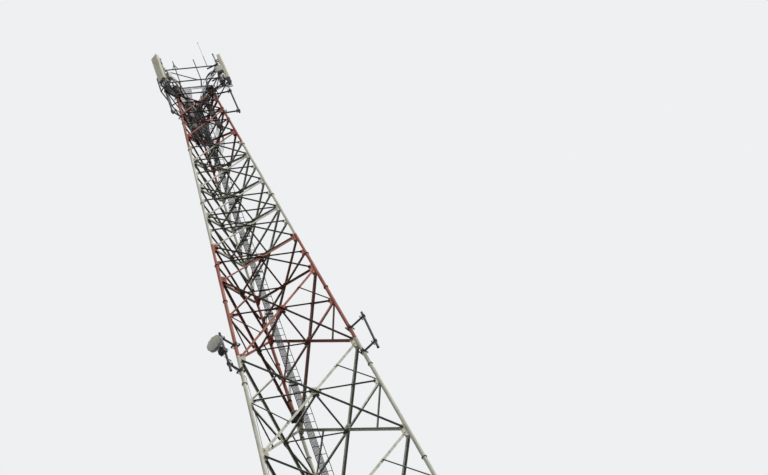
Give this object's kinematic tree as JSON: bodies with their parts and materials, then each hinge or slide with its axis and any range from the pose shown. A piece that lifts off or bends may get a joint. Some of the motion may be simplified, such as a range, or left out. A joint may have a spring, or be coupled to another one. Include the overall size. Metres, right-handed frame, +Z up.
{
  "type": "scale model of a lattice radio mast",
  "caption": "Tapering three-legged lattice mast at half size, with crossed angle bracing, ladder, work platform, ring-shaped head frame, panel antennas and a small dish",
  "frame": {"origin": "underside of the back leg's base plate, on the leg's axis", "axes": "+Z up along the mast, -Y towards the front face, +X to the right as seen from the front"},
  "size_m": [4.3298, 3.7497, 31.013],
  "materials": {
    "mast_paint": "faded red and off-white mast paint in bands, chalky",
    "galvanised": "hot-dip galvanised steel, weathered",
    "dark_galvanised": "dull, stained galvanised steel",
    "antenna_cover": "matt cream moulded plastic",
    "radio_case": "matt light paint on a cast case",
    "cable_jacket": "matt black cable jacket"
  },
  "bodies": {
    "root": {"base_plate_back": "galvanised", "base_plate_left": "galvanised", "base_plate_right": "galvanised", "leg_back_lower": "mast_paint", "leg_back_middle": "mast_paint", "leg_back_upper": "mast_paint", "leg_left_lower": "mast_paint", "leg_left_middle": "mast_paint", "leg_left_upper": "mast_paint", "leg_right_lower": "mast_paint", "leg_right_middle": "mast_paint", "leg_right_upper": "mast_paint", "front_lattice_lower": "mast_paint", "front_lattice_middle": "mast_paint", "front_lattice_upper": "mast_paint", "left_lattice_lower": "mast_paint", "left_lattice_middle": "mast_paint", "left_lattice_upper": "mast_paint", "right_lattice_lower": "mast_paint", "right_lattice_middle": "mast_paint", "right_lattice_upper": "mast_paint", "plan_bracing_lower": "mast_paint", "plan_bracing_middle": "mast_paint", "plan_bracing_upper": "mast_paint", "ladder_lower": "dark_galvanised", "ladder_upper": "dark_galvanised", "ladder_brackets": "dark_galvanised", "feeder_cables": "cable_jacket", "rest_platforms": "dark_galvanised", "platform_frame": "dark_galvanised", "platform_deck": "dark_galvanised", "head_frame": "dark_galvanised", "antenna_pipes": "galvanised", "panel_antenna_left": "antenna_cover", "panel_antenna_right": "antenna_cover", "panel_antenna_back": "antenna_cover", "radio_units": "radio_case", "standoff_dish": "dark_galvanised", "standoff_lower_right": "dark_galvanised", "standoff_upper_left": "dark_galvanised", "standoff_upper_right": "dark_galvanised", "dish_mount": "dark_galvanised", "dish": "galvanised", "dish_radome": "antenna_cover", "lightning_rod": "galvanised"}
  },
  "joints": []
}
